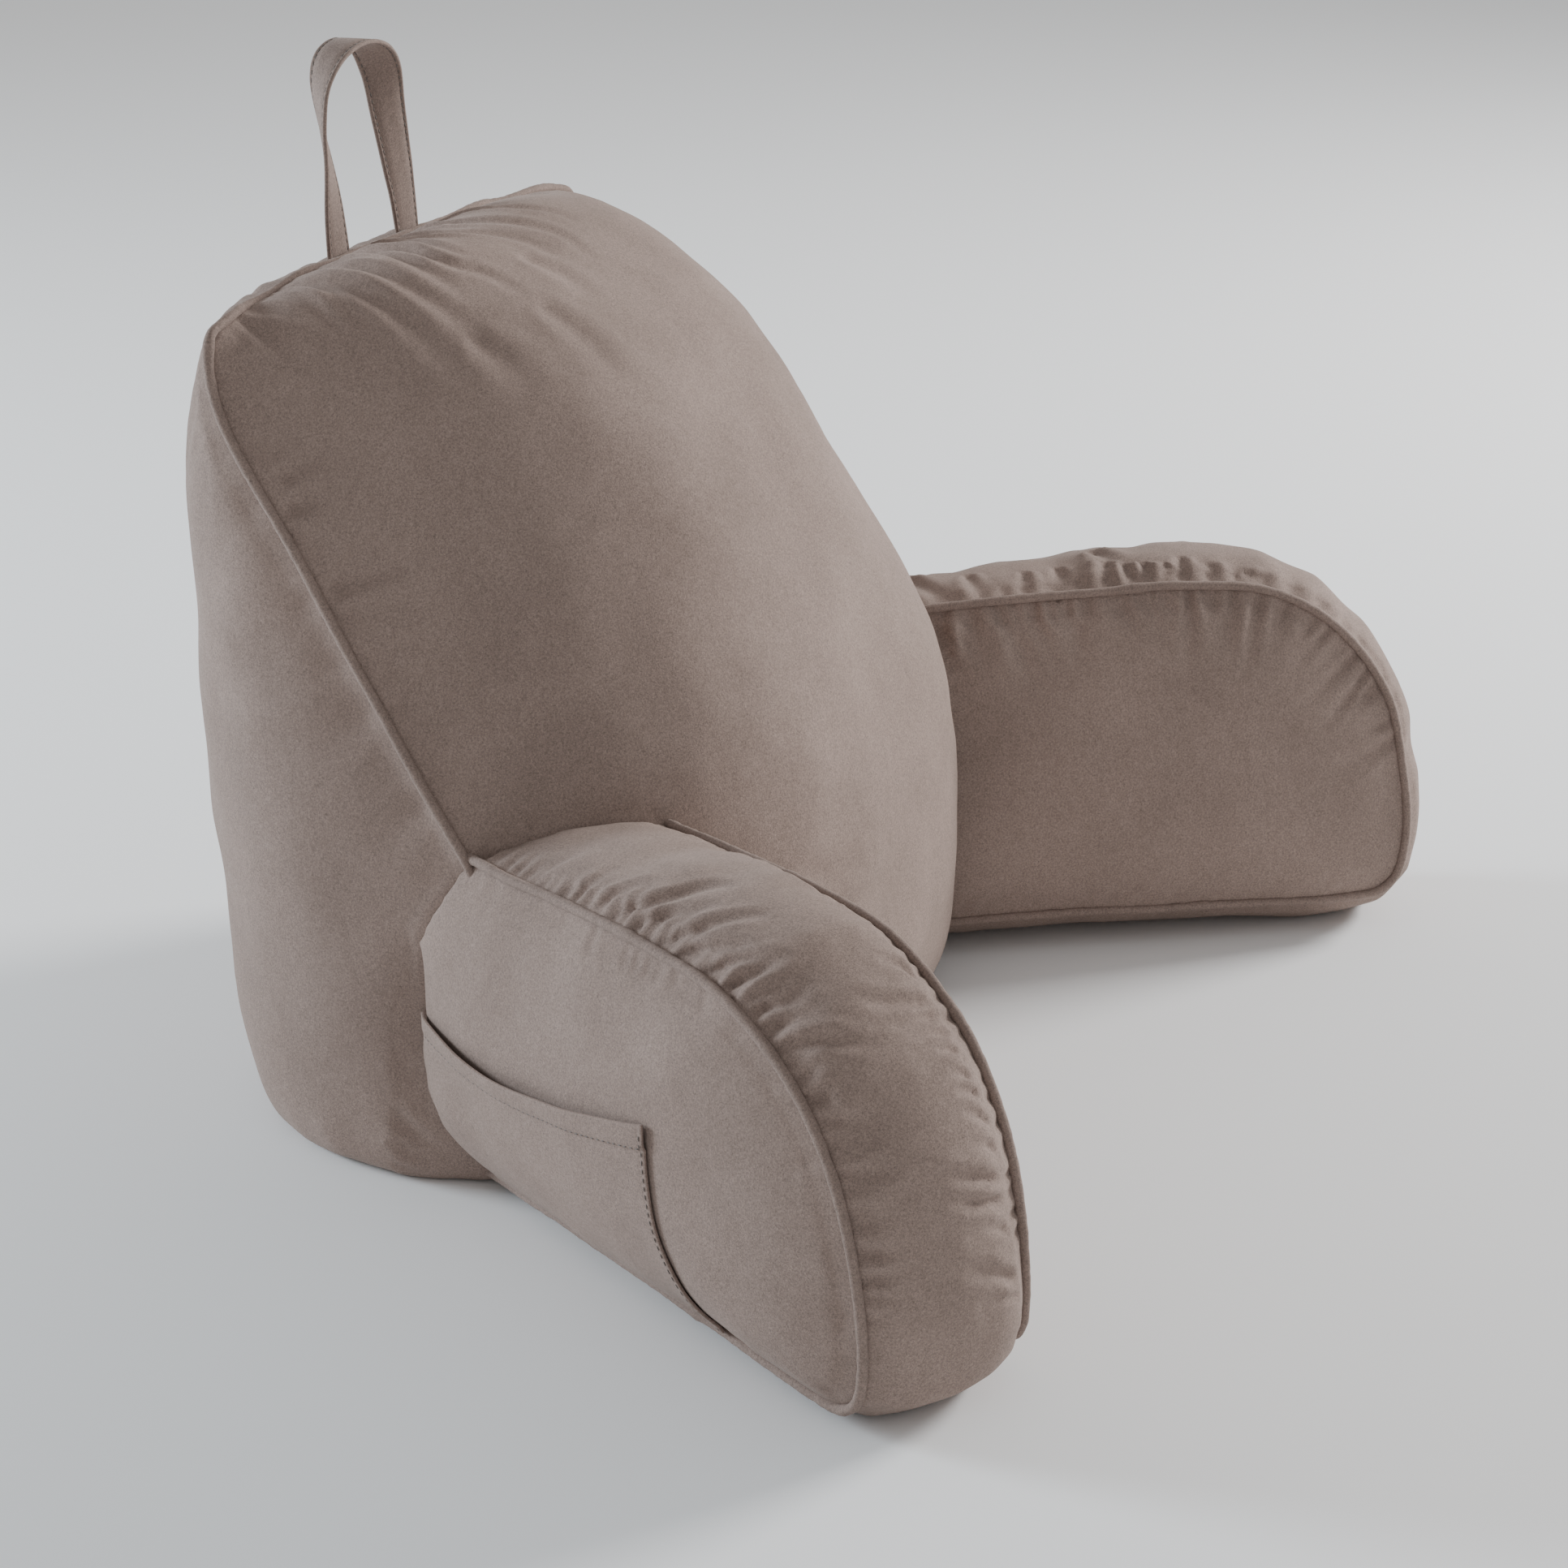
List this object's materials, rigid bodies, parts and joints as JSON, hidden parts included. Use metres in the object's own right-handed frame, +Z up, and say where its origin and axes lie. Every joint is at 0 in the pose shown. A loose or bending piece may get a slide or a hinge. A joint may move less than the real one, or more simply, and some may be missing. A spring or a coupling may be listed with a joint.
{
  "type": "bed rest cushion",
  "caption": "Filled bed rest cushion: tapered backrest that bulges forward, splayed boxed arms, piped seams, a patch pocket on the side and a carrying strap in the top seam",
  "frame": {"origin": "on the floor, under the middle of the part's own box; it lies on the backrest's flat base", "axes": "+X to the right of someone who looks at the front, along the width over both arms; +Y to the back; +Z up"},
  "size_m": [0.7708, 0.5678, 0.5472],
  "materials": {
    "cloth": "soft brushed pile, matt",
    "piping": "soft brushed pile, matt",
    "strap": "soft brushed pile, matt"
  },
  "bodies": {
    "root": {"backrest": "cloth", "backrest_piping": "piping", "arm_left": "cloth", "arm_left_piping_outer": "piping", "arm_left_piping_inner": "piping", "arm_right": "cloth", "arm_right_piping_outer": "piping", "arm_right_piping_inner": "piping", "pocket": "cloth", "strap": "strap"}
  },
  "joints": []
}
